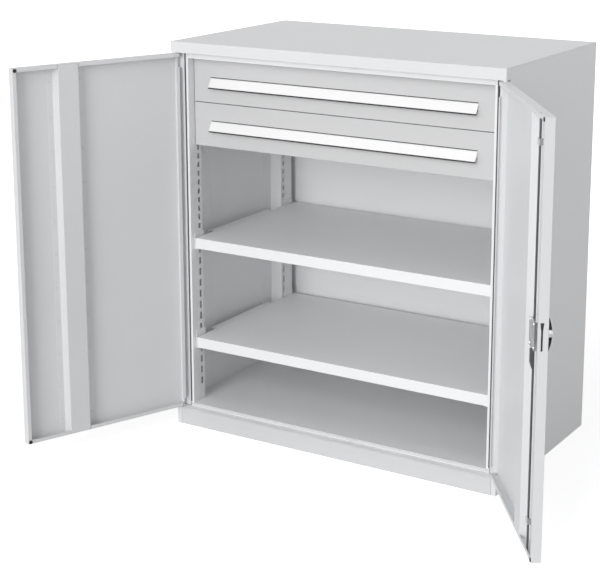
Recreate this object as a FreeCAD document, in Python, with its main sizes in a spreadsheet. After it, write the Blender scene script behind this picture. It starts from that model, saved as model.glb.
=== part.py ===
import FreeCAD, Part
import math
import os
import Sketcher
from types import SimpleNamespace

# Tool cabinet with two hinged doors, two drawers and two shelves.
# X runs to the right, Y to the back, Z up. The origin is the centre of the base on the floor.
# Door pieces are drawn with the doors closed and then swung open about their hinge pins.

os.makedirs("parts", exist_ok=True)
doc = FreeCAD.newDocument("ToolCabinet")
sheet = doc.addObject("Spreadsheet::Sheet", "Sizes")

sizes = {
    # carcass
    "cabinet_width": 1000,
    "cabinet_depth": 580,
    "cabinet_height": 1100,
    "sheet_thickness": 1.5,
    "seam_gap": 0.6,
    "cut_overrun": 1,
    # top panel and the rail behind its front box
    "top_flange_height": 30,
    "front_box_depth": 25,
    "top_rail_height": 47,
    "top_rail_return": 20,
    "top_rail_weld_flange": 14,
    # side panels
    "side_hem_width": 3,
    "nose_flange_width": 13,
    # base
    "ledge_height": 49,
    "floor_rise": 10,
    "corner_relief_depth": 6,
    "base_plate_return": 18,
    "cross_member_width": 40,
    "cross_member_flange": 16,
    # posts
    "post_face_inset": 40,
    "post_front_depth": 55,
    "post_front_return": 10,
    "post_flange_length": 98,
    "post_rear_distance": 90,
    "post_rear_depth": 60,
    "post_rear_flange": 50,
    "slot_width": 10,
    "slot_from_post_wall": 14,
    "lower_slot_height": 20,
    "lower_slot_pitch": 32.5,
    "lower_slot_first": 115,
    "lower_slot_count": 13,
    "upper_slot_height": 14.5,
    "upper_slot_pitch": 25,
    "upper_slot_gap": 44,
    "upper_slot_count": 20,
    # shelves and the rails that carry them
    "shelf_front_setback": 40,
    "shelf_rear_setback": 20,
    "shelf_side_gap": 3,
    "shelf_fold_height": 30,
    "shelf_lip_width": 12,
    "lower_shelf_slot": 5,
    "lower_shelf_above_hook": 6.5,
    "upper_shelf_below_hook": 5.5,
    "rail_flange_width": 15,
    "rail_top_drop": 2,
    "rail_ear_length": 44,
    "lower_ear_rise": 22,
    "upper_ear_rise": 15,
    "ear_corner_cut": 5,
    "rail_channel_depth": 20,
    "rail_channel_start": 96,
    "hook_width": 8,
    "hook_above": 4,
    "hook_neck": 3,
    "hook_drop": 9,
    "hook_length": 4,
    "hook_gap": 0.3,
    # drawers
    "drawer_front_setback": 52,
    "drawer_side_gap": 1.5,
    "drawer_top_gap": 3,
    "drawer_gap": 2,
    "upper_drawer_height": 118.5,
    "lower_drawer_height": 120.5,
    "drawer_front_depth": 18,
    "drawer_front_lip": 14,
    "tray_rise": 8,
    "tray_height": 90,
    "tray_rear_setback": 35,
    "tray_wall": 1.2,
    "handle_side_inset": 55,
    "handle_below_top": 50,
    "handle_drop": 25,
    "handle_reach": 15,
    "handle_wall": 2,
    "handle_flange_drop": 16,
    # telescopic drawer slides
    "slide_space": 15,
    "slide_height": 45,
    "slide_wall": 1.2,
    "slide_play": 0.3,
    "slide_above_tray": 30,
    "cabinet_member_reach": 11,
    "middle_member_start": 3,
    "middle_member_reach": 9,
    "slide_front_gap": 1,
    "slide_rear_setback": 28,
    "middle_member_front_gap": 5,
    "middle_member_rear_setback": 75,
    # doors
    "door_gap": 4,
    "door_side_gap": 2,
    "door_bottom_gap": 3,
    "door_top_gap": 3,
    "door_thickness": 23,
    "door_lip_width": 10,
    "left_door_open_angle": 112,
    "right_door_open_angle": 126,
    "stiffener_wall": 1.2,
    "stiffener_foot_start": 106.6,
    "stiffener_foot_width": 15.9,
    "stiffener_wall_run": 8,
    "stiffener_face_width": 58.2,
    "stiffener_lip_clearance": 2,
    "buffer_diameter": 10,
    "buffer_thickness": 1.7,
    "buffer_corner_inset": 5.5,
    "hinge_notch_width": 11,
    "hinge_notch_depth": 9,
    "upper_notch_drop": 10,
    "upper_notch_height": 28,
    "lower_notch_height": 22,
    # hinge pins
    "pivot_from_side": 8,
    "pivot_from_front": 10,
    "pin_diameter": 8,
    "pin_collar_diameter": 14,
    "pin_collar_gap": 0.3,
    "pin_into_door": 7,
    "pin_nut_height": 3.5,
    "pin_nut_width": 11,
    "running_gap": 0.05,
    # lock on the right door
    "lock_axis_from_centre": 60,
    "lock_axis_height": 573,
    "lock_case_width": 50,
    "lock_case_height": 66,
    "lock_case_proud": 1.5,
    "edge_slot_top_above_axis": 41.5,
    "edge_slot_height": 64.8,
    "edge_slot_taper": 20,
    "edge_slot_wide": 8.7,
    "edge_slot_narrow": 4.3,
    "edge_slot_from_front": 14.5,
    "rod_width": 10,
    "rod_thickness": 3,
    "rod_from_front": 17.5,
    "rod_gap": 0.4,
    "rod_tip_inset": 1,
    "rod_travel": 16,
    "rod_hole_diameter": 15,
    "rod_hole_offset": 3,
    "rod_end_from_axis": 15,
    "rod_arm_overlap": 6,
    "rod_lug_below_case": 1.5,
    "rod_lug_height": 48,
    "rod_lug_proud": 4,
    "rod_lug_taper_height": 16,
    "rod_lug_taper_depth": 5,
    "guide_width": 20,
    "guide_height": 15,
    "guide_from_end": 70,
    "guide_behind_rod": 2,
    "cam_diameter": 30,
    "cam_thickness": 3,
    "cam_to_rod": 2.5,
    "cam_pin_diameter": 4,
    "cam_pin_past_rod": 1,
    "cam_pin_start_angle": 45,
    "yoke_clearance": 0.7,
    "yoke_end_clearance": 0.5,
    "yoke_wall": 3,
    "rosette_diameter": 34,
    "rosette_thickness": 4,
    "grip_height": 116,
    "grip_width": 22,
    "grip_depth": 18.5,
    "grip_gap": 0.3,
    "grip_tip_height": 4,
    "grip_thickness": 3.6,
    "grip_boss_diameter": 25,
    "grip_boss_depth": 16,
    "insert_gap": 0.3,
    "insert_width": 18,
    "neck_diameter": 12,
    "neck_past_skin": 3,
    "spindle_width": 7,
    "cylinder_diameter": 14,
    "cylinder_depth": 8,
    "cylinder_proud": 1,
}


class Dim:
    """A size: its value in millimetres and the sheet expression that gives it."""

    def __init__(self, value, text):
        self.value = value
        self.text = text

    def __add__(self, other):
        other = as_dim(other)
        return Dim(self.value + other.value, f"({self.text} + {other.text})")

    def __sub__(self, other):
        other = as_dim(other)
        return Dim(self.value - other.value, f"({self.text} - {other.text})")

    def __mul__(self, other):
        other = as_dim(other)
        return Dim(self.value * other.value, f"({self.text} * {other.text})")

    def __truediv__(self, other):
        other = as_dim(other)
        return Dim(self.value / other.value, f"({self.text} / {other.text})")

    def __neg__(self):
        return Dim(-self.value, f"(-1 * {self.text})")

    __radd__ = __add__
    __rmul__ = __mul__


def as_dim(number):
    return number if isinstance(number, Dim) else Dim(number, str(number))


for row, (name, value) in enumerate(sizes.items(), start=1):
    sheet.set(f"A{row}", name)
    sheet.set(f"B{row}", str(value))
    sheet.setAlias(f"B{row}", name)
doc.recompute()

d = SimpleNamespace(**{name: Dim(sheet.get(name), f"Sizes.{name}") for name in sizes})

# Shared planes of the cabinet
zero = Dim(0, "0")
half_width = d.cabinet_width / 2
front = -d.cabinet_depth / 2
back = d.cabinet_depth / 2
wall = d.sheet_thickness
inner_half = half_width - wall
inner_back = back - wall
top_under = d.cabinet_height - wall
box_bottom = d.cabinet_height - d.top_flange_height
frame_front = front + d.front_box_depth
post_face = half_width - d.post_face_inset
floor_top = d.ledge_height + d.floor_rise
rail_bottom = d.cabinet_height - d.top_rail_height
pivot_x = half_width - d.pivot_from_side
pivot_y = front + d.pivot_from_front
door_low = d.ledge_height + d.door_bottom_gap
door_high = box_bottom - d.door_top_gap
door_free = d.door_gap / 2
door_hinge = half_width - d.door_side_gap
door_inner = front + d.door_thickness
door_skin = front + wall
lock_x = d.lock_axis_from_centre
lock_z = d.lock_axis_height
rod_front = front + d.rod_from_front
rod_back = rod_front + d.rod_thickness
rod_middle = rod_front + d.rod_thickness / 2

pieces = []


# Sketch and feature helpers

def new_body(label):
    body = doc.addObject("PartDesign::Body", label)
    body.Label = label
    pieces.append(body)
    return body


def plane_of(body, role):
    return [feature for feature in body.Origin.OriginFeatures if feature.Role == role][0]


def new_sketch(body, name, plane, low, high):
    """A sketch on an origin plane, set off so that a feature from it fills low to high."""
    sketch = body.newObject("Sketcher::SketchObject", name)
    sketch.AttachmentSupport = [(plane_of(body, plane), "")]
    sketch.MapMode = "FlatFace"
    offset = -high if plane == "XZ_Plane" else low
    sketch.AttachmentOffset = FreeCAD.Placement(FreeCAD.Vector(0, 0, offset.value), FreeCAD.Rotation())
    sketch.setExpression("AttachmentOffset.Base.z", offset.text)
    return sketch


def bind(sketch, rows):
    """Adds constraints from (arguments, size) rows and ties each one to its size."""
    first = sketch.ConstraintCount
    sketch.addConstraint([Sketcher.Constraint(*arguments, size.value) for arguments, size in rows])
    for place, (arguments, size) in enumerate(rows):
        sketch.setExpression(f"Constraints[{first + place}]", size.text)


def draw_polygon(sketch, points):
    points = [(as_dim(across), as_dim(up)) for across, up in points]
    count = len(points)
    first = sketch.GeometryCount
    vectors = [FreeCAD.Vector(across.value, up.value, 0) for across, up in points]
    lines = [Part.LineSegment(vectors[i], vectors[(i + 1) % count]) for i in range(count)]
    sketch.addGeometry(lines)
    joined = [Sketcher.Constraint("Coincident", first + i, 2, first + (i + 1) % count, 1)
              for i in range(count)]
    sketch.addConstraint(joined)
    rows = [(("DistanceX", -1, 1, first + i, 1), points[i][0]) for i in range(count)]
    rows += [(("DistanceY", -1, 1, first + i, 1), points[i][1]) for i in range(count)]
    bind(sketch, rows)


def draw_circle(sketch, across, up, diameter):
    centre = FreeCAD.Vector(across.value, up.value, 0)
    place = sketch.addGeometry(Part.Circle(centre, FreeCAD.Vector(0, 0, 1), diameter.value / 2))
    bind(sketch, [
        (("DistanceX", -1, 1, place, 3), across),
        (("DistanceY", -1, 1, place, 3), up),
        (("Diameter", place), diameter),
    ])


def rectangle(low_across, low_up, high_across, high_up):
    return [(low_across, low_up), (high_across, low_up), (high_across, high_up), (low_across, high_up)]


def span(side, near, far):
    """Low and high X of a range that is near to far from the centre on one side."""
    return (near, far) if side > 0 else (-far, -near)


def add_feature(body, kind, name, plane, low, high, polygons=(), circles=()):
    sketch = new_sketch(body, f"{name}_sketch", plane, low, high)
    for points in polygons:
        draw_polygon(sketch, points)
    for across, up, diameter in circles:
        draw_circle(sketch, across, up, diameter)
    feature = body.newObject(kind, name)
    feature.Profile = sketch
    feature.Length = (high - low).value
    feature.setExpression("Length", (high - low).text)
    feature.Reversed = kind == "PartDesign::Pocket"
    return feature


def pad(body, name, plane, low, high, polygons=(), circles=()):
    return add_feature(body, "PartDesign::Pad", f"{body.Name}_{name}", plane, low, high, polygons, circles)


def pocket(body, name, plane, low, high, polygons=(), circles=()):
    return add_feature(body, "PartDesign::Pocket", f"{body.Name}_{name}", plane, low, high, polygons, circles)


def repeat_up(body, original, count, pitch):
    """Repeats a cut upward along the body's Z axis."""
    pattern = body.newObject("PartDesign::LinearPattern", f"{original.Name}_row")
    pattern.Originals = [original]
    pattern.Direction = (plane_of(body, "Z_Axis"), [""])
    pattern.Mode = "Spacing"
    pattern.Occurrences = int(count.value)
    pattern.Offset = pitch.value
    pattern.setExpression("Offset", pitch.text)
    pattern.setExpression("Occurrences", count.text)
    body.Tip = pattern
    return pattern


# Top panel: roof sheet with a hollow front box whose underside holds the upper hinge pins

def make_top_panel():
    body = new_body("top_panel")
    pad(body, "fold", "YZ_Plane", -half_width, half_width, [[
        (front, box_bottom),
        (frame_front, box_bottom),
        (frame_front, box_bottom + wall),
        (front + wall, box_bottom + wall),
        (front + wall, top_under),
        (back, top_under),
        (back, d.cabinet_height),
        (front, d.cabinet_height),
    ]])
    for side, word in ((-1, "left"), (1, "right")):
        low, high = span(side, inner_half, half_width)
        pad(body, f"{word}_cap", "YZ_Plane", low, high,
            [rectangle(front + wall, box_bottom + wall, frame_front, top_under)])
    pocket(body, "pin_holes", "XY_Plane", box_bottom, box_bottom + wall, circles=[
        (-pivot_x, pivot_y, d.pin_diameter),
        (pivot_x, pivot_y, d.pin_diameter),
        (lock_x, rod_middle - d.rod_hole_offset, d.rod_hole_diameter),
    ])


# Side panels: full height sheets with a hemmed front edge and a nose beside the base plate

def make_side_panel(side, word):
    body = new_body(f"{word}_side_panel")
    low, high = span(side, inner_half, half_width)
    edge = frame_front + d.seam_gap
    pad(body, "skin", "YZ_Plane", low, high, [[
        (front, zero),
        (back, zero),
        (back, top_under),
        (edge, top_under),
        (edge, d.ledge_height),
        (front, d.ledge_height),
    ]])
    low, high = span(side, half_width - d.side_hem_width, inner_half)
    pad(body, "hem", "YZ_Plane", low, high, [rectangle(edge, floor_top, edge + wall, top_under)])
    low, high = span(side, half_width - d.nose_flange_width, inner_half)
    pad(body, "nose", "YZ_Plane", low, high,
        [rectangle(front, zero, door_skin, d.ledge_height - wall - d.seam_gap)])


# Back panel: one flat sheet between the sides

def make_back_panel():
    body = new_body("back_panel")
    pad(body, "skin", "XZ_Plane", inner_back, back, [rectangle(-inner_half, zero, inner_half, top_under)])


# Floor panel: interior floor, its front lip and the ledge that carries the lower hinge pins

def make_floor_panel():
    body = new_body("floor_panel")
    ledge_under = d.ledge_height - wall
    pad(body, "fold", "YZ_Plane", -inner_half, inner_half, [[
        (front, ledge_under),
        (frame_front + wall, ledge_under),
        (frame_front + wall, floor_top - wall),
        (inner_back, floor_top - wall),
        (inner_back, floor_top),
        (frame_front, floor_top),
        (frame_front, d.ledge_height),
        (front, d.ledge_height),
    ]])
    for side, word in ((-1, "left"), (1, "right")):
        low, high = span(side, post_face + d.post_front_return, inner_half)
        pocket(body, f"{word}_corner_relief", "XY_Plane", d.ledge_height, floor_top,
               [rectangle(low, frame_front, high, frame_front + d.corner_relief_depth)])
    pocket(body, "ledge_holes", "XY_Plane", ledge_under, d.ledge_height, circles=[
        (-pivot_x, pivot_y, d.pin_diameter),
        (pivot_x, pivot_y, d.pin_diameter),
        (lock_x, rod_middle - d.rod_hole_offset, d.rod_hole_diameter),
    ])


# Base front plate: folded plate that closes the base between the two noses

def make_base_front_plate():
    body = new_body("base_front_plate")
    reach = half_width - d.nose_flange_width - d.seam_gap
    high = d.ledge_height - wall - d.seam_gap
    rear = front + d.base_plate_return
    pad(body, "fold", "YZ_Plane", -reach, reach, [[
        (front, zero),
        (rear, zero),
        (rear, wall),
        (door_skin, wall),
        (door_skin, high),
        (front, high),
    ]])


# Base cross member: hat channel under the floor that stands on the ground at mid depth

def make_base_cross_member():
    body = new_body("base_cross_member")
    half = d.cross_member_width / 2
    flange = half + d.cross_member_flange
    high = floor_top - wall
    pad(body, "hat", "YZ_Plane", -inner_half, inner_half, [[
        (-half, zero),
        (half, zero),
        (half, high - wall),
        (flange, high - wall),
        (flange, high),
        (half - wall, high),
        (half - wall, wall),
        (-half + wall, wall),
        (-half + wall, high),
        (-flange, high),
        (-flange, high - wall),
        (-half, high - wall),
    ]])


# Top front rail: folded strip behind the front box, above the drawers

def make_top_front_rail():
    body = new_body("top_front_rail")
    pad(body, "fold", "YZ_Plane", -post_face, post_face, [[
        (frame_front, rail_bottom),
        (frame_front + d.top_rail_return, rail_bottom),
        (frame_front + d.top_rail_return, rail_bottom + wall),
        (frame_front + wall, rail_bottom + wall),
        (frame_front + wall, top_under - wall),
        (frame_front + d.top_rail_weld_flange, top_under - wall),
        (frame_front + d.top_rail_weld_flange, top_under),
        (frame_front, top_under),
    ]])


# Posts: folded uprights with a row of slots for shelf rails and slides

front_post_wall = frame_front + d.post_front_depth
rear_post_wall = back - d.post_rear_distance
front_slot_y = front_post_wall - d.slot_from_post_wall
rear_slot_y = rear_post_wall + d.slot_from_post_wall
upper_slot_first = d.lower_slot_first + d.lower_slot_pitch * (d.lower_slot_count - 1) + d.upper_slot_gap


def cut_slots(body, side, slot_y):
    low, high = span(side, post_face, post_face + wall)
    rows = (
        ("lower", d.lower_slot_first, d.lower_slot_height, d.lower_slot_count, d.lower_slot_pitch),
        ("upper", upper_slot_first, d.upper_slot_height, d.upper_slot_count, d.upper_slot_pitch),
    )
    for word, first, height, count, pitch in rows:
        slot = pocket(body, f"{word}_slot", "YZ_Plane", low, high, [rectangle(
            slot_y - d.slot_width / 2, first - height / 2, slot_y + d.slot_width / 2, first + height / 2)])
        repeat_up(body, slot, count, pitch)


def make_front_post(side, word):
    body = new_body(f"{word}_front_post")
    outline = [
        (post_face + d.post_front_return, frame_front),
        (post_face, frame_front),
        (post_face, front_post_wall),
        (inner_half - wall, front_post_wall),
        (inner_half - wall, front_post_wall + d.post_flange_length),
        (inner_half, front_post_wall + d.post_flange_length),
        (inner_half, front_post_wall - wall),
        (post_face + wall, front_post_wall - wall),
        (post_face + wall, frame_front + wall),
        (post_face + d.post_front_return, frame_front + wall),
    ]
    pad(body, "fold", "XY_Plane", floor_top, top_under, [[(side * across, up) for across, up in outline]])
    cut_slots(body, side, front_slot_y)


def make_rear_post(side, word):
    body = new_body(f"{word}_rear_post")
    rear_end = rear_post_wall + d.post_rear_depth
    outline = [
        (inner_half, rear_post_wall - d.post_rear_flange),
        (inner_half - wall, rear_post_wall - d.post_rear_flange),
        (inner_half - wall, rear_post_wall),
        (post_face, rear_post_wall),
        (post_face, rear_end),
        (post_face + d.post_front_return, rear_end),
        (post_face + d.post_front_return, rear_end - wall),
        (post_face + wall, rear_end - wall),
        (post_face + wall, rear_post_wall + wall),
        (inner_half, rear_post_wall + wall),
    ]
    pad(body, "fold", "XY_Plane", floor_top, top_under, [[(side * across, up) for across, up in outline]])
    cut_slots(body, side, rear_slot_y)


# Shelves: trays turned downward, with lips that rest on the rails

lower_hook_z = d.lower_slot_first + d.lower_slot_pitch * (d.lower_shelf_slot - 1)
upper_hook_z = upper_slot_first
lower_shelf_top = lower_hook_z + d.lower_shelf_above_hook
upper_shelf_top = upper_hook_z - d.upper_shelf_below_hook
shelf_front = front + d.shelf_front_setback
shelf_rear = back - d.shelf_rear_setback


def make_shelf(word, shelf_top):
    body = new_body(f"{word}_shelf")
    half = post_face - d.shelf_side_gap
    low = shelf_top - d.shelf_fold_height
    lip = d.shelf_lip_width
    pad(body, "block", "XY_Plane", low, shelf_top, [rectangle(-half, shelf_front, half, shelf_rear)])
    pocket(body, "hollow", "XY_Plane", low + wall, shelf_top - wall,
           [rectangle(-half + wall, shelf_front + wall, half - wall, shelf_rear - wall)])
    pocket(body, "mouth", "XY_Plane", low, low + wall,
           [rectangle(-half + lip, shelf_front + lip, half - lip, shelf_rear - lip)])


# Shelf rails: plates against the posts, with hooks in the slots and a channel between the posts

def make_shelf_rail(side, side_word, shelf_word, shelf_top, hook_z, ear_rise):
    body = new_body(f"{side_word}_{shelf_word}_shelf_rail")
    seat = shelf_top - d.shelf_fold_height
    low = seat - wall
    high = shelf_top - d.rail_top_drop
    ear = shelf_top + ear_rise
    rear_end = rear_post_wall + d.post_rear_depth
    front_ear = shelf_front + d.rail_ear_length
    rear_ear = rear_end - d.rail_ear_length
    cut = d.ear_corner_cut
    plate_low, plate_high = span(side, post_face - wall, post_face)
    pad(body, "plate", "YZ_Plane", plate_low, plate_high, [[
        (shelf_front, low),
        (rear_end, low),
        (rear_end, ear - cut),
        (rear_end - cut, ear),
        (rear_ear + cut, ear),
        (rear_ear, ear - cut),
        (rear_ear, high),
        (front_ear, high),
        (front_ear, ear - cut),
        (front_ear - cut, ear),
        (shelf_front + cut, ear),
        (shelf_front, ear - cut),
    ]])
    near, far = span(side, post_face - d.rail_flange_width, post_face - wall)
    pad(body, "seat", "XY_Plane", low, seat, [rectangle(near, shelf_front, far, rear_end)])
    near, far = span(side, post_face, post_face + d.rail_channel_depth)
    channel_front = shelf_front + d.rail_channel_start
    channel_rear = rear_post_wall - d.post_rear_flange
    strip = rectangle(near, channel_front, far, channel_rear)
    pad(body, "channel_foot", "XY_Plane", low, seat, [strip])
    pad(body, "channel_head", "XY_Plane", high - wall, high, [strip])
    for word, slot_y in (("front", front_slot_y), ("rear", rear_slot_y)):
        hook = [
            (post_face, hook_z + d.hook_above),
            (post_face, hook_z - d.hook_neck),
            (post_face + wall + d.hook_gap, hook_z - d.hook_neck),
            (post_face + wall + d.hook_gap, hook_z - d.hook_drop),
            (post_face + d.hook_length, hook_z - d.hook_drop),
            (post_face + d.hook_length, hook_z + d.hook_above),
        ]
        pad(body, f"{word}_hook", "XZ_Plane", slot_y - d.hook_width / 2, slot_y + d.hook_width / 2,
            [[(side * across, up) for across, up in hook]])


# Drawer slides: three nested channels, one on the posts, one between and one on the drawer

drawer_face = front + d.drawer_front_setback
drawer_rear_of_front = drawer_face + d.drawer_front_depth
tray_half = post_face - d.slide_space
tray_rear = back - d.tray_rear_setback
upper_drawer_top = rail_bottom - d.drawer_top_gap
upper_drawer_low = upper_drawer_top - d.upper_drawer_height
lower_drawer_top = upper_drawer_low - d.drawer_gap
lower_drawer_low = lower_drawer_top - d.lower_drawer_height


def make_slide_member(label, side, web, edge, half_height, centre, y_low, y_high):
    """A C channel: web at one distance from the post, open edge at the other."""
    body = new_body(label)
    turn = 1 if edge.value > web.value else -1
    skin = turn * d.slide_wall
    outline = [
        (web, -half_height),
        (edge, -half_height),
        (edge, -half_height + d.slide_wall),
        (web + skin, -half_height + d.slide_wall),
        (web + skin, half_height - d.slide_wall),
        (edge, half_height - d.slide_wall),
        (edge, half_height),
        (web, half_height),
    ]
    pad(body, "channel", "XZ_Plane", y_low, y_high,
        [[(side * (post_face - across), centre + up) for across, up in outline]])


def make_drawer_slides(drawer_word, drawer_low):
    centre = drawer_low + d.tray_rise + d.slide_above_tray
    cabinet_half = d.slide_height / 2
    middle_half = cabinet_half - d.slide_wall - d.slide_play
    drawer_half = middle_half - d.slide_wall - d.slide_play
    y_low = drawer_rear_of_front + d.slide_front_gap
    y_high = back - d.slide_rear_setback
    middle_low = drawer_rear_of_front + d.middle_member_front_gap
    middle_web = d.middle_member_start
    for side, word in ((-1, "left"), (1, "right")):
        make_slide_member(f"{drawer_word}_drawer_{word}_cabinet_member", side, zero,
                          d.cabinet_member_reach, cabinet_half, centre, y_low, y_high)
        make_slide_member(f"{drawer_word}_drawer_{word}_middle_member", side, middle_web,
                          middle_web + d.middle_member_reach, middle_half, centre,
                          middle_low, back - d.middle_member_rear_setback)
        make_slide_member(f"{drawer_word}_drawer_{word}_drawer_member", side, d.slide_space,
                          middle_web + d.slide_wall + d.slide_play, drawer_half, centre,
                          drawer_rear_of_front, tray_rear)


# Drawers: hollow front, open tray and a slanted handle strip across the front

def make_drawer(word, low, high):
    half = post_face - d.drawer_side_gap
    lip = d.drawer_front_lip
    body = new_body(f"{word}_drawer_front")
    pad(body, "block", "XZ_Plane", drawer_face, drawer_rear_of_front, [rectangle(-half, low, half, high)])
    pocket(body, "hollow", "XZ_Plane", drawer_face + wall, drawer_rear_of_front - wall,
           [rectangle(-half + wall, low + wall, half - wall, high - wall)])
    pocket(body, "mouth", "XZ_Plane", drawer_rear_of_front - wall, drawer_rear_of_front,
           [rectangle(-half + lip, low + lip, half - lip, high - lip)])

    tray = new_body(f"{word}_drawer_tray")
    tray_low = low + d.tray_rise
    tray_high = tray_low + d.tray_height
    skin = d.tray_wall
    pad(tray, "block", "XY_Plane", tray_low, tray_high,
        [rectangle(-tray_half, drawer_rear_of_front, tray_half, tray_rear)])
    pocket(tray, "hollow", "XY_Plane", tray_low + skin, tray_high,
           [rectangle(-tray_half + skin, drawer_rear_of_front + skin, tray_half - skin, tray_rear - skin)])

    strip = new_body(f"{word}_drawer_handle")
    reach = half - d.handle_side_inset
    handle_top = high - d.handle_below_top
    handle_low = handle_top - d.handle_drop
    slope = d.handle_drop / d.handle_reach
    inner_z = handle_low + slope * (d.handle_reach - d.handle_wall - d.handle_wall)
    pad(strip, "profile", "YZ_Plane", -reach, reach, [[
        (drawer_face, handle_top),
        (drawer_face - d.handle_reach, handle_low),
        (drawer_face - d.handle_reach + d.handle_wall, handle_low),
        (drawer_face - d.handle_wall, inner_z),
        (drawer_face - d.handle_wall, handle_top - d.handle_flange_drop),
        (drawer_face, handle_top - d.handle_flange_drop),
    ]])


# Doors: pans with folded edges and lips, a hat stiffener and two rubber buffers

def swing(body, side, angle):
    """Turns a piece that is drawn closed about its hinge pins."""
    axis = FreeCAD.Vector(0, 0, 1)
    pivot = FreeCAD.Vector(side * pivot_x.value, pivot_y.value, 0)
    turned = FreeCAD.Rotation(axis, side * angle.value)
    body.Placement = FreeCAD.Placement(FreeCAD.Vector(0, 0, 0), turned, pivot)


stiffener_wall_foot = d.stiffener_foot_start + d.stiffener_foot_width
stiffener_face_start = stiffener_wall_foot + d.stiffener_wall_run
stiffener_face_end = stiffener_face_start + d.stiffener_face_width
stiffener_far_wall = stiffener_face_end + d.stiffener_wall_run
stiffener_far_edge = stiffener_far_wall + d.stiffener_foot_width


def door_rectangle(side, near, low, far, high):
    across_low, across_high = span(side, near, far)
    return rectangle(across_low, low, across_high, high)


def make_door_pan(side, word, angle):
    body = new_body(f"{word}_door_pan")
    lip = d.door_lip_width
    pad(body, "block", "XZ_Plane", front, door_inner,
        [door_rectangle(side, door_free, door_low, door_hinge, door_high)])
    pocket(body, "hollow", "XZ_Plane", door_skin, door_inner - wall,
           [door_rectangle(side, door_free + wall, door_low + wall, door_hinge - wall, door_high - wall)])
    pocket(body, "mouth", "XZ_Plane", door_inner - wall, door_inner,
           [door_rectangle(side, door_free + lip, door_low + lip, door_hinge - lip, door_high - lip)])
    clear = d.stiffener_lip_clearance
    pocket(body, "lip_gaps", "XZ_Plane", door_inner - wall, door_inner, [
        door_rectangle(side, stiffener_face_start - clear, door_high - lip,
                       stiffener_face_end + clear, door_high - wall),
        door_rectangle(side, stiffener_face_start - clear, door_low + wall,
                       stiffener_face_end + clear, door_low + lip),
    ])
    notch_high = door_high - d.upper_notch_drop
    near, far = span(side, door_hinge - d.hinge_notch_width, door_hinge)
    notch = rectangle(near, door_inner - d.hinge_notch_depth, far, door_inner)
    pocket(body, "upper_notch", "XY_Plane", notch_high - d.upper_notch_height, notch_high, [notch])
    pocket(body, "lower_notch", "XY_Plane", door_low + wall, door_low + d.lower_notch_height, [notch])
    hole = d.pin_diameter + d.running_gap * 2
    for end, low, high in (("upper", door_high - wall, door_high), ("lower", door_low, door_low + wall)):
        pocket(body, f"{end}_pin_hole", "XY_Plane", low, high, circles=[(side * pivot_x, pivot_y, hole)])
    if word == "right":
        cut_lock_openings(body)
    swing(body, side, angle)


def rod_opening(left, right):
    """Clearance outline, seen from above, round a rod that reaches left and right of the lock's axis."""
    gap = d.rod_gap
    return rectangle(lock_x - left - gap, rod_front - gap, lock_x + right + gap, rod_back + gap)


def cut_lock_openings(body):
    pocket(body, "upper_rod_slot", "XY_Plane", door_high - wall, door_high, [rod_opening(rod_half, rod_half)])
    pocket(body, "lower_rod_slot", "XY_Plane", door_low, door_low + wall, [rod_opening(rod_half, rod_half)])
    neck_hole = d.neck_diameter + d.running_gap * 2
    pocket(body, "neck_hole", "XZ_Plane", front, door_skin, circles=[(lock_x, lock_z, neck_hole)])
    middle = front + d.edge_slot_from_front
    slot_top = lock_z + d.edge_slot_top_above_axis
    taper_end = slot_top - d.edge_slot_taper
    slot_low = slot_top - d.edge_slot_height
    wide = d.edge_slot_wide / 2
    narrow = d.edge_slot_narrow / 2
    pocket(body, "edge_slot", "YZ_Plane", door_free, door_free + wall, [[
        (middle - wide, slot_top),
        (middle - narrow, taper_end),
        (middle - narrow, slot_low),
        (middle + narrow, slot_low),
        (middle + narrow, taper_end),
        (middle + wide, slot_top),
    ]])


def make_door_stiffener(side, word, angle):
    body = new_body(f"{word}_door_stiffener")
    skin = d.stiffener_wall
    outline = [
        (d.stiffener_foot_start, door_skin),
        (stiffener_wall_foot + skin, door_skin),
        (stiffener_face_start + skin, door_inner - skin),
        (stiffener_face_end - skin, door_inner - skin),
        (stiffener_far_wall - skin, door_skin),
        (stiffener_far_edge, door_skin),
        (stiffener_far_edge, door_skin + skin),
        (stiffener_far_wall, door_skin + skin),
        (stiffener_face_end, door_inner),
        (stiffener_face_start, door_inner),
        (stiffener_wall_foot, door_skin + skin),
        (d.stiffener_foot_start, door_skin + skin),
    ]
    pad(body, "hat", "XY_Plane", door_low + wall, door_high - wall,
        [[(side * across, up) for across, up in outline]])
    swing(body, side, angle)


def make_door_buffers(side, word, angle):
    inset = d.buffer_corner_inset
    across = side * (door_free + inset)
    for end, height in (("upper", door_high - inset), ("lower", door_low + inset)):
        body = new_body(f"{word}_door_{end}_buffer")
        pad(body, "disc", "XZ_Plane", door_inner, door_inner + d.buffer_thickness,
            circles=[(across, height, d.buffer_diameter)])
        swing(body, side, angle)


# Hinge pins: turned pins with a collar under the sheet and a hexagonal nut behind it

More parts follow.
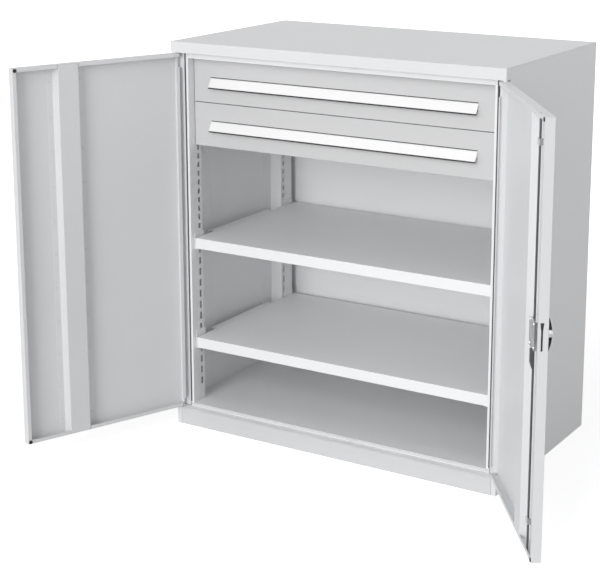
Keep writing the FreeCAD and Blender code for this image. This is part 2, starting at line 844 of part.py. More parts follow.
def make_hinge_pin(side, side_word, end_word, sheet_face, direction):
    body = new_body(f"{side_word}_{end_word}_hinge_pin")
    room = d.door_top_gap if end_word == "upper" else d.door_bottom_gap
    nut_end = wall + d.pin_nut_height

    def levels(near, far):
        """Heights of a band that is near to far from the sheet's face on the nut's side."""
        return (sheet_face + near, sheet_face + far) if direction > 0 else (sheet_face - far, sheet_face - near)

    low, high = levels(-(room + d.pin_into_door), nut_end)
    pad(body, "shank", "XY_Plane", low, high, circles=[(side * pivot_x, pivot_y, d.pin_diameter)])
    low, high = levels(-(room - d.pin_collar_gap), zero)
    pad(body, "collar", "XY_Plane", low, high, circles=[(side * pivot_x, pivot_y, d.pin_collar_diameter)])
    flat = d.pin_nut_width / 2
    point = flat * 2 / math.sqrt(3)
    corners = [(flat, -point / 2), (flat, point / 2), (zero, point),
               (-flat, point / 2), (-flat, -point / 2), (zero, -point)]
    low, high = levels(wall, nut_end)
    pad(body, "nut", "XY_Plane", low, high,
        [[(side * pivot_x + across, pivot_y + up) for across, up in corners]])


# Lock of the right door: case, cam and two rods driven by pins in yokes

cam_face = rod_front - d.cam_to_rod
cam_front = cam_face - d.cam_thickness
pin_across = d.rod_travel / 2
pin_circle = Dim(
    d.rod_travel.value / 2 / math.sin(math.radians(d.cam_pin_start_angle.value)),
    f"({d.rod_travel.text} / 2 / sin({d.cam_pin_start_angle.text} * 1 deg))")
case_half = d.lock_case_width / 2
case_low = lock_z - d.lock_case_height / 2
case_high = lock_z + d.lock_case_height / 2
case_back = door_inner + d.lock_case_proud
rod_half = d.rod_width / 2
yoke_far = pin_circle + d.cam_pin_diameter / 2 + d.yoke_end_clearance
arm_far = yoke_far + d.yoke_wall


def make_lock_case():
    body = new_body("lock_case")
    pad(body, "block", "XZ_Plane", door_skin, case_back,
        [rectangle(lock_x - case_half, case_low, lock_x + case_half, case_high)])
    pocket(body, "hollow", "XZ_Plane", door_skin, case_back - wall,
           [rectangle(lock_x - case_half + wall, case_low + wall,
                      lock_x + case_half - wall, case_high - wall)])
    pocket(body, "upper_rod_slot", "XY_Plane", case_high - wall, case_high, [rod_opening(rod_half, arm_far)])
    pocket(body, "lower_rod_slot", "XY_Plane", case_low, case_low + wall, [rod_opening(arm_far, rod_half)])
    swing(body, 1, d.right_door_open_angle)


def make_lock_rod(word, direction, tip):
    """A flat bar whose side arm carries the yoke slot for one cam pin."""
    body = new_body(f"{word}_lock_rod")
    pin = d.cam_pin_diameter / 2
    slot_half = pin + d.yoke_clearance
    slot_near = pin_across - pin - d.yoke_end_clearance
    arm_near = slot_near - d.yoke_wall
    slot_at = -pin_across
    arm_end = slot_at - slot_half - d.yoke_wall
    bar_end = d.rod_end_from_axis
    arm_top = bar_end + d.rod_arm_overlap
    outline = [
        (-rod_half, tip),
        (-rod_half, lock_z + direction * bar_end),
        (arm_near, lock_z + direction * bar_end),
        (arm_near, lock_z + direction * arm_end),
        (arm_far, lock_z + direction * arm_end),
        (arm_far, lock_z + direction * arm_top),
        (rod_half, lock_z + direction * arm_top),
        (rod_half, tip),
    ]
    pad(body, "bar", "XZ_Plane", rod_front, rod_back,
        [[(lock_x + direction * across, up) for across, up in outline]])
    slot = rectangle(slot_near, slot_at - slot_half, yoke_far, slot_at + slot_half)
    pocket(body, "yoke", "XZ_Plane", rod_front, rod_back,
           [[(lock_x + direction * across, lock_z + direction * up) for across, up in slot]])
    if word == "lower":
        add_rod_lug(body)
    swing(body, 1, d.right_door_open_angle)


def add_rod_lug(body):
    """A tapered lug under the case, for moving the rod by hand from inside the door."""
    lug_top = case_low - d.rod_lug_below_case
    lug_low = lug_top - d.rod_lug_height
    lug_face = door_inner + d.rod_lug_proud
    pad(body, "lug", "YZ_Plane", lock_x - rod_half, lock_x + rod_half, [[
        (rod_front, lug_low),
        (lug_face - d.rod_lug_taper_depth, lug_low),
        (lug_face, lug_low + d.rod_lug_taper_height),
        (lug_face, lug_top),
        (rod_front, lug_top),
    ]])


def make_rod_guide(word, low):
    body = new_body(f"{word}_rod_guide")
    half = d.guide_width / 2
    pad(body, "block", "XY_Plane", low, low + d.guide_height,
        [rectangle(lock_x - half, door_skin, lock_x + half, rod_back + d.rod_gap + d.guide_behind_rod)])
    pocket(body, "channel", "XY_Plane", low, low + d.guide_height, [rod_opening(rod_half, rod_half)])
    swing(body, 1, d.right_door_open_angle)


def make_lock_cam():
    body = new_body("lock_cam")
    half = d.spindle_width / 2
    pad(body, "disc", "XZ_Plane", cam_front, cam_face, circles=[(lock_x, lock_z, d.cam_diameter)])
    pad(body, "pins", "XZ_Plane", cam_face, rod_back + d.cam_pin_past_rod, circles=[
        (lock_x + pin_across, lock_z - pin_across, d.cam_pin_diameter),
        (lock_x - pin_across, lock_z + pin_across, d.cam_pin_diameter),
    ])
    pocket(body, "square", "XZ_Plane", cam_front, cam_face,
           [rectangle(lock_x - half, lock_z - half, lock_x + half, lock_z + half)])
    swing(body, 1, d.right_door_open_angle)


# Turn handle: bow shaped grip with a boss and neck in its middle, filled by two inserts

rosette_front = front - d.rosette_thickness
grip_back = rosette_front - d.grip_gap
grip_front = grip_back - d.grip_depth
bow_half = d.grip_height / 2 - d.grip_tip_height
bow_depth = d.grip_depth - d.grip_thickness


def make_handle_rosette():
    body = new_body("handle_rosette")
    bore = d.neck_diameter + d.running_gap * 2
    pad(body, "disc", "XZ_Plane", rosette_front, front,
        circles=[(lock_x, lock_z, d.rosette_diameter), (lock_x, lock_z, bore)])
    swing(body, 1, d.right_door_open_angle)


def lens(body, kind, name, width, half, depth):
    """A block with a flat back and a curved front, centred on the lock's axis."""
    low = lock_x - width / 2
    high = lock_x + width / 2
    sketch = new_sketch(body, f"{body.Name}_{name}_sketch", "YZ_Plane", low, high)
    bottom = FreeCAD.Vector(grip_back.value, (lock_z - half).value, 0)
    top = FreeCAD.Vector(grip_back.value, (lock_z + half).value, 0)
    crest = FreeCAD.Vector((grip_back - depth).value, lock_z.value, 0)
    sketch.addGeometry([Part.LineSegment(bottom, top), Part.Arc(top, crest, bottom)])
    sketch.addConstraint([
        Sketcher.Constraint("Coincident", 0, 2, 1, 1),
        Sketcher.Constraint("Coincident", 0, 1, 1, 2),
    ])
    bind(sketch, [
        (("DistanceX", -1, 1, 0, 1), grip_back),
        (("DistanceY", -1, 1, 0, 1), lock_z - half),
        (("DistanceX", -1, 1, 0, 2), grip_back),
        (("DistanceY", -1, 1, 0, 2), lock_z + half),
        (("Radius", 1), (half * half + depth * depth) / (depth * 2)),
    ])
    feature = body.newObject(kind, f"{body.Name}_{name}")
    feature.Profile = sketch
    feature.Length = width.value
    feature.setExpression("Length", width.text)
    feature.Reversed = kind == "PartDesign::Pocket"


def make_turn_handle():
    body = new_body("turn_handle")
    lens(body, "PartDesign::Pad", "grip", d.grip_width, d.grip_height / 2, d.grip_depth)
    lens(body, "PartDesign::Pocket", "bow", d.grip_width, bow_half, bow_depth)
    pad(body, "boss", "XZ_Plane", grip_back - d.grip_boss_depth, grip_back,
        circles=[(lock_x, lock_z, d.grip_boss_diameter)])
    neck_end = door_skin + d.neck_past_skin
    pad(body, "neck", "XZ_Plane", grip_back, neck_end, circles=[(lock_x, lock_z, d.neck_diameter)])
    square = d.spindle_width / 2
    pad(body, "spindle", "XZ_Plane", neck_end, cam_face,
        [rectangle(lock_x - square, lock_z - square, lock_x + square, lock_z + square)])
    pocket(body, "bore", "XZ_Plane", grip_front - d.cut_overrun, grip_front + d.cylinder_depth,
           circles=[(lock_x, lock_z, d.cylinder_diameter)])
    swing(body, 1, d.right_door_open_angle)


def make_grip_insert(word, direction):
    """Fills one arm of the bow between its boss and its tip."""
    body = new_body(f"{word}_grip_insert")
    lens(body, "PartDesign::Pad", "fill", d.insert_width, bow_half - d.insert_gap, bow_depth - d.insert_gap)
    near = -bow_half - d.cut_overrun
    far = d.grip_boss_diameter / 2 + d.insert_gap
    low, high = (lock_z + near, lock_z + far) if direction > 0 else (lock_z - far, lock_z - near)
    pocket(body, "trim", "XY_Plane", low, high, [rectangle(
        lock_x - d.insert_width, grip_front, lock_x + d.insert_width, rosette_front)])
    swing(body, 1, d.right_door_open_angle)


def make_lock_cylinder():
    body = new_body("lock_cylinder")
    pad(body, "barrel", "XZ_Plane", grip_front - d.cylinder_proud, grip_front + d.cylinder_depth,
        circles=[(lock_x, lock_z, d.cylinder_diameter)])
    swing(body, 1, d.right_door_open_angle)


# The whole cabinet

sides = ((-1, "left"), (1, "right"))
make_top_panel()
make_back_panel()
make_floor_panel()
make_base_front_plate()
make_base_cross_member()
make_top_front_rail()
make_shelf("lower", lower_shelf_top)
make_shelf("upper", upper_shelf_top)
for side, word in sides:
    make_side_panel(side, word)
    make_front_post(side, word)
    make_rear_post(side, word)
    make_shelf_rail(side, word, "lower", lower_shelf_top, lower_hook_z, d.lower_ear_rise)
    make_shelf_rail(side, word, "upper", upper_shelf_top, upper_hook_z, d.upper_ear_rise)
    make_hinge_pin(side, word, "upper", box_bottom, 1)
    make_hinge_pin(side, word, "lower", d.ledge_height, -1)
for side, word, angle in ((-1, "left", d.left_door_open_angle), (1, "right", d.right_door_open_angle)):
    make_door_pan(side, word, angle)
    make_door_stiffener(side, word, angle)
    make_door_buffers(side, word, angle)
make_drawer("upper", upper_drawer_low, upper_drawer_top)
make_drawer("lower", lower_drawer_low, lower_drawer_top)
make_drawer_slides("upper", upper_drawer_low)
make_drawer_slides("lower", lower_drawer_low)
make_lock_case()
make_lock_rod("upper", 1, door_high - d.rod_tip_inset)
make_lock_rod("lower", -1, door_low + d.rod_tip_inset)
make_rod_guide("upper", door_high - d.guide_from_end)
make_rod_guide("lower", door_low + d.guide_from_end)
make_lock_cam()
make_handle_rosette()
make_turn_handle()
make_grip_insert("upper", 1)
make_grip_insert("lower", -1)
make_lock_cylinder()

doc.recompute()

for item in doc.Objects:
    if "Invalid" in item.State or "Error" in item.State:
        raise RuntimeError(f"{item.Name} did not build: {item.State}")
for piece in pieces:
    if piece.Shape.isNull() or not piece.Shape.isValid():
        raise RuntimeError(f"{piece.Label} has no valid shape")
    if len(piece.Shape.Solids) != 1:
        raise RuntimeError(f"{piece.Label} has {len(piece.Shape.Solids)} solids")
for piece in pieces:
    piece.Shape.exportStep(f"parts/{piece.Label}.step")
    print(piece.Label, round(piece.Shape.Volume), len(piece.Shape.Faces))
print(len(pieces), "pieces")
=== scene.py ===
import bmesh
import bpy
import math
from mathutils import Matrix, Vector


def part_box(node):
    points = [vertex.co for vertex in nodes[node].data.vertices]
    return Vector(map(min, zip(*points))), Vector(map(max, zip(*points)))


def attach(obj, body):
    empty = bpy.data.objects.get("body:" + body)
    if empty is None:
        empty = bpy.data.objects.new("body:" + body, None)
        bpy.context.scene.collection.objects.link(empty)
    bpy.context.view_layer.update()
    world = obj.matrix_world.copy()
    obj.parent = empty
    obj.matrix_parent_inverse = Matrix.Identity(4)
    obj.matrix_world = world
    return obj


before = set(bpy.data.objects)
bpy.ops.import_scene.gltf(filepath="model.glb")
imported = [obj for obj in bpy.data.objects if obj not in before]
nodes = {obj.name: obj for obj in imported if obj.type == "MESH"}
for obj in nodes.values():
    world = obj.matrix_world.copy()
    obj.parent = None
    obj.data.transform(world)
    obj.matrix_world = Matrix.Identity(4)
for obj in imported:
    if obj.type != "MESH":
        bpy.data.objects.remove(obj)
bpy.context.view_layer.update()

# Carcass sheets: roof, sides, back, floor, base plate and rail of folded steel sheet.
# They are welded together and powder coated grey, with a fine orange peel in the satin coat
# and softly rounded folds. Inside, the grey is painted lighter as painted light, and on the
# base and the floor's front fold it is painted darker as painted shade.

coat_grey = (0.785, 0.790, 0.802, 1)
coat_roughness = 0.42
fold_radius = 0.0016


def powder_coat(name, colour, roughness, peel=0.05, shade=0.03):
    """Satin powder coat: faint cloudy tone, orange peel relief and rounded folds."""
    finish = bpy.data.materials.new(name)
    finish.use_nodes = True
    tree = finish.node_tree
    shader = tree.nodes["Principled BSDF"]
    shader.inputs["Roughness"].default_value = roughness
    place = tree.nodes.new("ShaderNodeTexCoord")

    clouds = tree.nodes.new("ShaderNodeTexNoise")
    clouds.inputs["Scale"].default_value = 3.2
    clouds.inputs["Detail"].default_value = 3
    tone = tree.nodes.new("ShaderNodeMix")
    tone.data_type = "RGBA"
    tone.inputs[6].default_value = colour
    tone.inputs[7].default_value = (*[channel * (1 - shade) for channel in colour[:3]], 1)
    tree.links.new(place.outputs["Object"], clouds.inputs["Vector"])
    tree.links.new(clouds.outputs["Fac"], tone.inputs[0])
    tree.links.new(tone.outputs[2], shader.inputs["Base Color"])

    grain = tree.nodes.new("ShaderNodeTexNoise")
    grain.inputs["Scale"].default_value = 420
    grain.inputs["Detail"].default_value = 2
    relief = tree.nodes.new("ShaderNodeBump")
    relief.inputs["Strength"].default_value = peel
    relief.inputs["Distance"].default_value = 0.0004
    rounding = tree.nodes.new("ShaderNodeBevel")
    rounding.samples = 6
    rounding.inputs["Radius"].default_value = fold_radius
    tree.links.new(place.outputs["Object"], grain.inputs["Vector"])
    tree.links.new(grain.outputs["Fac"], relief.inputs["Height"])
    tree.links.new(rounding.outputs["Normal"], relief.inputs["Normal"])
    tree.links.new(relief.outputs["Normal"], shader.inputs["Normal"])
    return finish


def give(finish, *names):
    """Puts a finish on every slot of the named pieces."""
    for name in names:
        for slot in nodes[name].material_slots:
            slot.material = finish


light_grey_coat = powder_coat("light_grey_powder_coat", coat_grey, coat_roughness)
give(light_grey_coat, "top_panel", "base_cross_member")

# The inside's grey is a lighter copy of the coat: painted light that makes up for the shade inside.
inner_grey_painted_light = (0.905, 0.910, 0.920, 1)
inner_coat_painted_light = powder_coat("inner_powder_coat_painted_light", inner_grey_painted_light, coat_roughness)
give(inner_coat_painted_light, "back_panel", "top_front_rail")

# The base's grey is a darker copy of the coat: painted shade on the base plate.
base_grey_painted_shade = (0.680, 0.684, 0.692, 1)
base_coat_painted_shade = powder_coat("base_powder_coat_painted_shade", base_grey_painted_shade, coat_roughness)
give(base_coat_painted_shade, "base_front_plate")


def paint_light_and_shade_tone(finish, colour, tests):
    """Paints light and shade into a powder coat: another tone where every test on the place is met."""
    tree = finish.node_tree
    shader = tree.nodes["Principled BSDF"]
    first_tone = shader.inputs["Base Color"].links[0].from_socket
    place = tree.nodes.new("ShaderNodeTexCoord")
    split = tree.nodes.new("ShaderNodeSeparateXYZ")
    tree.links.new(place.outputs["Object"], split.inputs["Vector"])
    share = None
    for axis, operation, limit in tests:
        test = tree.nodes.new("ShaderNodeMath")
        test.operation = operation
        test.inputs[1].default_value = limit
        tree.links.new(split.outputs[axis], test.inputs[0])
        if share is None:
            share = test.outputs["Value"]
            continue
        both = tree.nodes.new("ShaderNodeMath")
        both.operation = "MULTIPLY"
        tree.links.new(share, both.inputs[0])
        tree.links.new(test.outputs["Value"], both.inputs[1])
        share = both.outputs["Value"]
    tone = tree.nodes.new("ShaderNodeMix")
    tone.data_type = "RGBA"
    tone.inputs[7].default_value = colour
    tree.links.new(share, tone.inputs[0])
    tree.links.new(first_tone, tone.inputs[6])
    tree.links.new(tone.outputs[2], shader.inputs["Base Color"])


# The floor takes the inside's lighter grey as painted light, and its front fold above the ledge takes
# the base's darker grey as painted shade.
riser_rear = -0.2625
ledge_top = 0.0502
floor_coat_painted_light_and_shade = powder_coat("floor_powder_coat_painted_light_and_shade", inner_grey_painted_light, coat_roughness)
paint_light_and_shade_tone(floor_coat_painted_light_and_shade, base_grey_painted_shade, [("Y", "LESS_THAN", riser_rear), ("Z", "GREATER_THAN", ledge_top)])
give(floor_coat_painted_light_and_shade, "floor_panel")

# The side panels' inner faces take the inside's lighter grey, which is painted light.
side_inner_face = 0.4992
side_fold_rear = -0.2640
side_coat_painted_light_inside = powder_coat("side_powder_coat_painted_light_inside", coat_grey, coat_roughness)
paint_light_and_shade_tone(side_coat_painted_light_inside, inner_grey_painted_light, [
    ("X", "GREATER_THAN", -side_inner_face),
    ("X", "LESS_THAN", side_inner_face),
    ("Y", "GREATER_THAN", side_fold_rear),
])
give(side_coat_painted_light_inside, "left_side_panel", "right_side_panel")

# Slotted posts: uprights of folded steel sheet, welded to the side panels front and rear
# and coated in the inside's grey, which is painted lighter as painted light. Their inner faces carry
# rows of punched slots for the rails.

give(inner_coat_painted_light, "left_front_post", "right_front_post", "left_rear_post", "right_rear_post")

# Shelf rails and shelves: bent rails hook into the slots, and each shelf
# rests on a pair of them. Both are folded sheet in the inside's coat, painted lighter as painted light.

give(inner_coat_painted_light, "left_lower_shelf_rail", "right_lower_shelf_rail",
     "left_upper_shelf_rail", "right_upper_shelf_rail")
give(inner_coat_painted_light, "lower_shelf", "upper_shelf")

# Drawers: hollow fronts of folded sheet with open trays behind them, in a darker copy
# of the carcass coat that is painted shade. They hang on the slides between the front posts.

drawer_grey_painted_shade = (0.632, 0.634, 0.640, 1)
drawer_coat_painted_shade = powder_coat("drawer_powder_coat_painted_shade", drawer_grey_painted_shade, coat_roughness)
for drawer in ("upper", "lower"):
    give(drawer_coat_painted_shade, f"{drawer}_drawer_front", f"{drawer}_drawer_tray")

# Handle strips: slanted profiles across the drawer fronts, coated white.
# A narrow black strip above each strip is painted shade in the joint, and a black band
# under its lower edge, where the open underside takes the fingers, is painted shade too.

strip_white = (0.93, 0.93, 0.93, 1)
strip_roughness = 0.38
strip_peel = 0.02
joint_shade_softness = 0.0001
underside_shade_softness = 0.0006
joint_shade_height = 0.0019
joint_shade_depth = 0.0005
underside_shade_height = 0.0038
underside_shade_depth = 0.0030


def dull_black(name, colour, roughness):
    """Dull black with a fine grain, for rubber and plastic and for black pieces that are painted shade.
    """
    finish = bpy.data.materials.new(name)
    finish.use_nodes = True
    tree = finish.node_tree
    shader = tree.nodes["Principled BSDF"]
    shader.inputs["Roughness"].default_value = roughness
    place = tree.nodes.new("ShaderNodeTexCoord")
    grain = tree.nodes.new("ShaderNodeTexNoise")
    grain.inputs["Scale"].default_value = 700
    tone = tree.nodes.new("ShaderNodeMix")
    tone.data_type = "RGBA"
    tone.inputs[6].default_value = colour
    tone.inputs[7].default_value = (*[channel * 1.6 for channel in colour[:3]], 1)
    relief = tree.nodes.new("ShaderNodeBump")
    relief.inputs["Strength"].default_value = 0.2
    relief.inputs["Distance"].default_value = 0.0002
    tree.links.new(place.outputs["Object"], grain.inputs["Vector"])
    tree.links.new(grain.outputs["Fac"], tone.inputs[0])
    tree.links.new(tone.outputs[2], shader.inputs["Base Color"])
    tree.links.new(grain.outputs["Fac"], relief.inputs["Height"])
    tree.links.new(relief.outputs["Normal"], shader.inputs["Normal"])
    return finish


def trim_block(low, high, softness):
    """A block between two corners with softened edges."""
    block = bmesh.new()
    bmesh.ops.create_cube(block, size=1)
    bmesh.ops.scale(block, vec=[far - near for near, far in zip(low, high)], verts=block.verts)
    bmesh.ops.translate(block, vec=[(near + far) / 2 for near, far in zip(low, high)], verts=block.verts)
    bmesh.ops.bevel(block, geom=block.edges[:], offset=softness, segments=2, profile=0.5,
                    affect="EDGES", material=-1)
    return block


def fit_piece(name, shape, finish, body):
    """Makes a piece of a finished shape and fixes it to the body that carries it."""
    skin = bpy.data.meshes.new(name)
    shape.to_mesh(skin)
    shape.free()
    skin.materials.append(finish)
    piece = bpy.data.objects.new(name, skin)
    bpy.context.scene.collection.objects.link(piece)
    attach(piece, body)


white_coat = powder_coat("white_powder_coat", strip_white, strip_roughness, peel=strip_peel, shade=0.0)
# This black is painted shade: it fills the joint above each strip, the band under it and the slot in the
# right door's edge.
painted_shade_black = dull_black("painted_shade_black", (0.025, 0.025, 0.026, 1), 0.6)
for drawer in ("upper", "lower"):
    give(white_coat, f"{drawer}_drawer_handle")
    strip_low, strip_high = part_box(f"{drawer}_drawer_handle")
    face = strip_high[1]
    joint_shade = trim_block((strip_low[0], face - joint_shade_depth, strip_high[2]),
                       (strip_high[0], face, strip_high[2] + joint_shade_height), joint_shade_softness)
    fit_piece(f"{drawer}_handle_joint_shade", joint_shade, painted_shade_black, f"{drawer}_drawer")
    underside_shade = trim_block((strip_low[0], strip_low[1], strip_low[2] - underside_shade_height),
                     (strip_high[0], strip_low[1] + underside_shade_depth, strip_low[2]), underside_shade_softness)
    fit_piece(f"{drawer}_handle_underside_shade", underside_shade, painted_shade_black, f"{drawer}_drawer")

# Telescopic slides: rolled channels of zinc plated steel nested in each other,
# fixed to the posts and to the sides of the trays.


def plated_steel(name, colour, roughness):
    """Drawn plated steel with fine lengthwise streaks in its polish."""
    finish = bpy.data.materials.new(name)
    finish.use_nodes = True
    tree = finish.node_tree
    shader = tree.nodes["Principled BSDF"]
    shader.inputs["Metallic"].default_value = 1
    place = tree.nodes.new("ShaderNodeTexCoord")
    stretch = tree.nodes.new("ShaderNodeMapping")
    stretch.inputs["Scale"].default_value = (900, 40, 900)
    streaks = tree.nodes.new("ShaderNodeTexNoise")
    streaks.inputs["Scale"].default_value = 1
    streaks.inputs["Detail"].default_value = 2
    polish = tree.nodes.new("ShaderNodeMapRange")
    polish.inputs["To Min"].default_value = roughness * 0.8
    polish.inputs["To Max"].default_value = roughness * 1.25
    tone = tree.nodes.new("ShaderNodeMix")
    tone.data_type = "RGBA"
    tone.inputs[6].default_value = (*[channel * 0.9 for channel in colour[:3]], 1)
    tone.inputs[7].default_value = colour
    tree.links.new(place.outputs["Object"], stretch.inputs["Vector"])
    tree.links.new(stretch.outputs["Vector"], streaks.inputs["Vector"])
    tree.links.new(streaks.outputs["Fac"], polish.inputs["Value"])
    tree.links.new(polish.outputs["Result"], shader.inputs["Roughness"])
    tree.links.new(streaks.outputs["Fac"], tone.inputs[0])
    tree.links.new(tone.outputs[2], shader.inputs["Base Color"])
    return finish


zinc = plated_steel("zinc_plated_steel", (0.88, 0.88, 0.88, 1), 0.34)
for drawer in ("upper", "lower"):
    for side in ("left", "right"):
        give(zinc, f"{drawer}_drawer_{side}_cabinet_member", f"{drawer}_drawer_{side}_middle_member",
             f"{drawer}_drawer_{side}_drawer_member")

# Doors: pans folded from sheet with lips all round and a full height hat stiffener,
# powder coated as the carcass. The stiffener's feet are spot welded to the skin,
# which leaves a row of small flat marks under the coat.

hinge_across = 0.492
hinge_back = -0.280
open_angle = {"left": -112, "right": 126}
foot_lines = (0.1145, 0.2047)
foot_face = -0.2873
weld_first = 0.095
weld_pitch = 0.0925
weld_count = 11
weld_radius = 0.0027
weld_rise = 0.0003


def open_with_door(shape, side):
    """Turns a shape drawn on the shut door to the door's place in the photograph."""
    across = hinge_across if side == "right" else -hinge_across
    turned = Matrix.Rotation(math.radians(open_angle[side]), 3, "Z")
    bmesh.ops.rotate(shape, cent=(across, hinge_back, 0), matrix=turned, verts=shape.verts)


def add_disc(shape, centre, radius, top_radius, height, segments=20):
    """Adds a low round boss that stands on a plane facing the cabinet's inside."""
    turned = Matrix.Translation(centre) @ Matrix.Rotation(math.radians(-90), 4, "X")
    bmesh.ops.create_cone(shape, cap_ends=True, segments=segments, radius1=radius, radius2=top_radius,
                          depth=height, matrix=turned)


for side in ("left", "right"):
    give(light_grey_coat, f"{side}_door_pan", f"{side}_door_stiffener")
    towards = 1 if side == "right" else -1
    marks = bmesh.new()
    for foot in foot_lines:
        for row in range(weld_count):
            place = (towards * foot, foot_face + weld_rise / 2, weld_first + row * weld_pitch)
            add_disc(marks, place, weld_radius, weld_radius * 0.75, weld_rise)
    open_with_door(marks, side)
    fit_piece(f"{side}_door_weld_marks", marks, light_grey_coat, f"{side}_door")

# Door buffers: small discs of black rubber that soften the closing of the doors.
# They are glued to the lips at the doors' free corners.

rubber = dull_black("black_rubber", (0.018, 0.018, 0.018, 1), 0.7)
for side in ("left", "right"):
    give(rubber, f"{side}_door_upper_buffer", f"{side}_door_lower_buffer")

# Hinge pins: turned steel pins with a collar, held in the front box and in the ledge.
# Beside them a coated strip closes the slot between front post and side panel, and a
# thin dark strip along the outer edge of the post is painted shade in the gap by the door.

# The near-black of the strip along the post is painted shade.
gap_shade_black = dull_black("gap_shade_dark", (0.060, 0.061, 0.063, 1), 0.9)
closing_inner = 0.4725
closing_outer = 0.4968
closing_front = -0.2645
closing_rear = -0.2615
closing_low = 0.0500
gap_shade_inner = 0.4668
gap_shade_outer = 0.4700
gap_shade_front = -0.2660
gap_shade_rear = -0.2650
gap_shade_low = 0.0625
trim_high = 1.0660
trim_softness = 0.0003


def across_span(side, inner, outer):
    """Turns two distances from the middle into the lower and the higher place across."""
    return (inner, outer) if side == "right" else (-outer, -inner)


for side in ("left", "right"):
    give(zinc, f"{side}_upper_hinge_pin", f"{side}_lower_hinge_pin")
    low, high = across_span(side, closing_inner, closing_outer)
    strip = trim_block((low, closing_front, closing_low), (high, closing_rear, trim_high), trim_softness)
    fit_piece(f"{side}_closing_strip", strip, light_grey_coat, "carcass")
    low, high = across_span(side, gap_shade_inner, gap_shade_outer)
    gap_shade = trim_block((low, gap_shade_front, gap_shade_low), (high, gap_shade_rear, trim_high), trim_softness)
    fit_piece(f"{side}_post_gap_shade", gap_shade, gap_shade_black, "carcass")

# Rod lock: plated case screwed inside the right door, with dark flat steel rods that
# run through plated guides to the door's ends. A black sheet behind the slot that is
# cut in the door's edge is painted shade.

dark_steel = plated_steel("dark_oxide_steel", (0.20, 0.20, 0.21, 1), 0.45)
give(zinc, "lock_case", "lock_cam")
lock_across = 0.060
lock_height = 0.573
case_back = -0.2655
screw_across = 0.0195
screw_up = 0.0275
screw_radius = 0.003
screw_rise = 0.0013
screw_segments = 24
slot_shade_low = (0.0037, -0.2822, 0.5440)
slot_shade_high = (0.0045, -0.2690, 0.6200)
slot_shade_softness = 0.0001
screws = bmesh.new()
for across in (-screw_across, screw_across):
    for up in (-screw_up, screw_up):
        place = (lock_across + across, case_back + screw_rise / 2, lock_height + up)
        add_disc(screws, place, screw_radius, screw_radius * 0.8, screw_rise, screw_segments)
open_with_door(screws, "right")
fit_piece("lock_case_screws", screws, zinc, "right_door")

# The black sheet behind the edge slot is painted shade.
slot_shade_sheet = trim_block(slot_shade_low, slot_shade_high, slot_shade_softness)
open_with_door(slot_shade_sheet, "right")
fit_piece("edge_slot_shade", slot_shade_sheet, painted_shade_black, "right_door")
give(dark_steel, "upper_lock_rod", "lower_lock_rod")
give(zinc, "upper_rod_guide", "lower_rod_guide")

# Turn handle: nickel plated bow with black inserts in its two arms, on a black rosette.
# The key cylinder sits in its middle, and a black sliver on its face is painted shade in the key slot.

satin_nickel = plated_steel("satin_nickel", (0.87, 0.87, 0.86, 1), 0.28)
handle_black_and_slot_shade = dull_black("black_plastic_and_painted_shade", (0.02, 0.02, 0.021, 1), 0.5)
give(satin_nickel, "turn_handle", "lock_cylinder")
give(handle_black_and_slot_shade, "handle_rosette", "upper_grip_insert", "lower_grip_insert")
# The key slot is a black sliver on the cylinder's face, painted shade; the rosette and inserts are real
# black plastic.
key_slot_low = (0.0591, -0.31395, 0.5692)
key_slot_high = (0.0609, -0.31360, 0.5768)
key_slot_softness = 0.0001
key_slot_shade = trim_block(key_slot_low, key_slot_high, key_slot_softness)
open_with_door(key_slot_shade, "right")
fit_piece("key_slot_shade", key_slot_shade, handle_black_and_slot_shade, "turn_handle")

# Studio: pale floor without a visible edge and an even surround. A low and a high broad
# soft light come from the front and a weaker one from the left, with two faint lamps
# overhead and at the right.

floor_reach = 14
floor_mesh = bpy.data.meshes.new("studio_floor")
sheet = bmesh.new()
bmesh.ops.create_grid(sheet, x_segments=1, y_segments=1, size=floor_reach)
sheet.to_mesh(floor_mesh)
sheet.free()
floor = bpy.data.objects.new("studio_floor", floor_mesh)
bpy.context.scene.collection.objects.link(floor)

paper = bpy.data.materials.new("studio_paper")
paper.use_nodes = True
paper_tree = paper.node_tree
paper_shader = paper_tree.nodes["Principled BSDF"]
paper_shader.inputs["Base Color"].default_value = (0.86, 0.86, 0.86, 1)
paper_shader.inputs["Roughness"].default_value = 0.9
paper_shader.inputs["Specular IOR Level"].default_value = 0.1
paper_shader.inputs["Emission Color"].default_value = (1, 1, 1, 1)
paper_place = paper_tree.nodes.new("ShaderNodeTexCoord")
paper_distance = paper_tree.nodes.new("ShaderNodeVectorMath")
paper_distance.operation = "LENGTH"
paper_lift = paper_tree.nodes.new("ShaderNodeMapRange")
paper_lift.interpolation_type = "SMOOTHSTEP"
paper_lift.inputs["From Min"].default_value = 0.9
paper_lift.inputs["From Max"].default_value = 2.6
paper_lift.inputs["To Min"].default_value = 0.52
paper_lift.inputs["To Max"].default_value = 1.0
paper_rays = paper_tree.nodes.new("ShaderNodeLightPath")
paper_seen = paper_tree.nodes.new("ShaderNodeMath")
paper_seen.operation = "MULTIPLY"
paper_tree.links.new(paper_place.outputs["Object"], paper_distance.inputs[0])
paper_tree.links.new(paper_distance.outputs["Value"], paper_lift.inputs["Value"])
paper_tree.links.new(paper_lift.outputs["Result"], paper_seen.inputs[0])
paper_tree.links.new(paper_rays.outputs["Is Camera Ray"], paper_seen.inputs[1])
paper_tree.links.new(paper_seen.outputs["Value"], paper_shader.inputs["Emission Strength"])
floor_mesh.materials.append(paper)

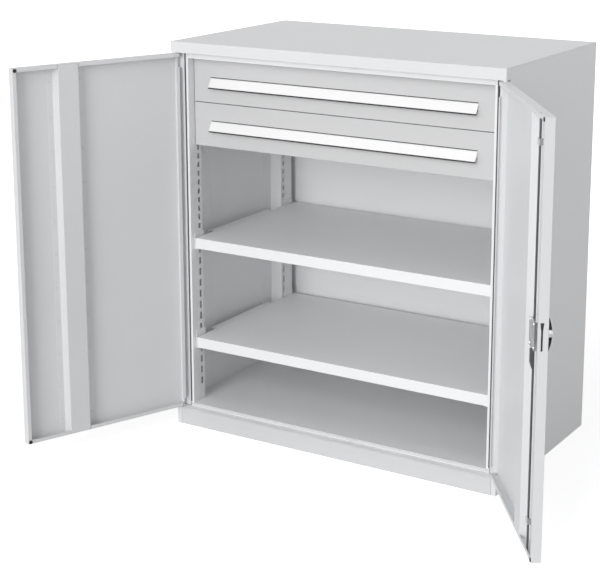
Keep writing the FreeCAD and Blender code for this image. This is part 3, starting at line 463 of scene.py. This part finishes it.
world = bpy.data.worlds.new("studio")
bpy.context.scene.world = world
world.use_nodes = True
surround = world.node_tree
sky = surround.nodes["Background"]
sky.inputs["Color"].default_value = (1, 1, 1, 1)
rays = surround.nodes.new("ShaderNodeLightPath")
seen = surround.nodes.new("ShaderNodeMath")
seen.operation = "MAXIMUM"
level = surround.nodes.new("ShaderNodeMapRange")
level.inputs["To Min"].default_value = 0.45
level.inputs["To Max"].default_value = 1.0
surround.links.new(rays.outputs["Is Camera Ray"], seen.inputs[0])
surround.links.new(rays.outputs["Is Glossy Ray"], seen.inputs[1])
surround.links.new(seen.outputs["Value"], level.inputs["Value"])
surround.links.new(level.outputs["Result"], sky.inputs["Strength"])


def softbox(name, place, aim, size, watts):
    """A large square studio light turned towards a point."""
    lamp = bpy.data.lights.new(name, "AREA")
    lamp.shape = "SQUARE"
    lamp.size = size
    lamp.energy = watts
    holder = bpy.data.objects.new(name, lamp)
    bpy.context.scene.collection.objects.link(holder)
    holder.location = place
    holder.rotation_euler = (Vector(aim) - Vector(place)).to_track_quat("-Z", "Y").to_euler()


def far_light(name, azimuth, elevation, strength, spread):
    """A distant soft light from an angle right of the front and an angle above the floor."""
    lamp = bpy.data.lights.new(name, "SUN")
    lamp.energy = strength
    lamp.angle = math.radians(spread)
    holder = bpy.data.objects.new(name, lamp)
    bpy.context.scene.collection.objects.link(holder)
    across, up = math.radians(azimuth), math.radians(elevation)
    towards = Vector((-math.sin(across) * math.cos(up), math.cos(across) * math.cos(up), -math.sin(up)))
    holder.rotation_euler = towards.to_track_quat("-Z", "Y").to_euler()


far_light("low_key_light", azimuth=4, elevation=8, strength=1.04, spread=25)
far_light("high_key_light", azimuth=0, elevation=30, strength=0.60, spread=25)
far_light("left_light", azimuth=-52, elevation=18, strength=0.28, spread=30)
softbox("top_light", place=(0, -0.6, 4.0), aim=(0, 0, 1.1), size=2.0, watts=5)
softbox("side_light", place=(3.5, 0.8, 1.8), aim=(0.4, 0, 0.6), size=1.6, watts=12)

# Camera: the photograph's viewpoint, above the roof and to the right. It is tilted
# down and shifted a little, so that the whole cabinet keeps clear of the picture's edge.

view_point = (2.0299, -3.6699, 1.6385)
view_yaw = 31.238
view_pitch = 12.794
focal_pixels = 1550.4
image_width = 600
image_height = 583
centre_across = 321
centre_down = 190
eye = bpy.data.cameras.new("camera")
eye.sensor_fit = "HORIZONTAL"
eye.sensor_width = 36
eye.lens = focal_pixels / image_width * eye.sensor_width
eye.shift_x = (image_width / 2 - centre_across) / image_width
eye.shift_y = (centre_down - image_height / 2) / image_width
tripod = bpy.data.objects.new("camera", eye)
bpy.context.scene.collection.objects.link(tripod)
tripod.location = view_point
tripod.rotation_euler = (math.radians(90 - view_pitch), 0, math.radians(view_yaw))
bpy.context.scene.camera = tripod
bpy.context.scene.view_settings.view_transform = "Standard"
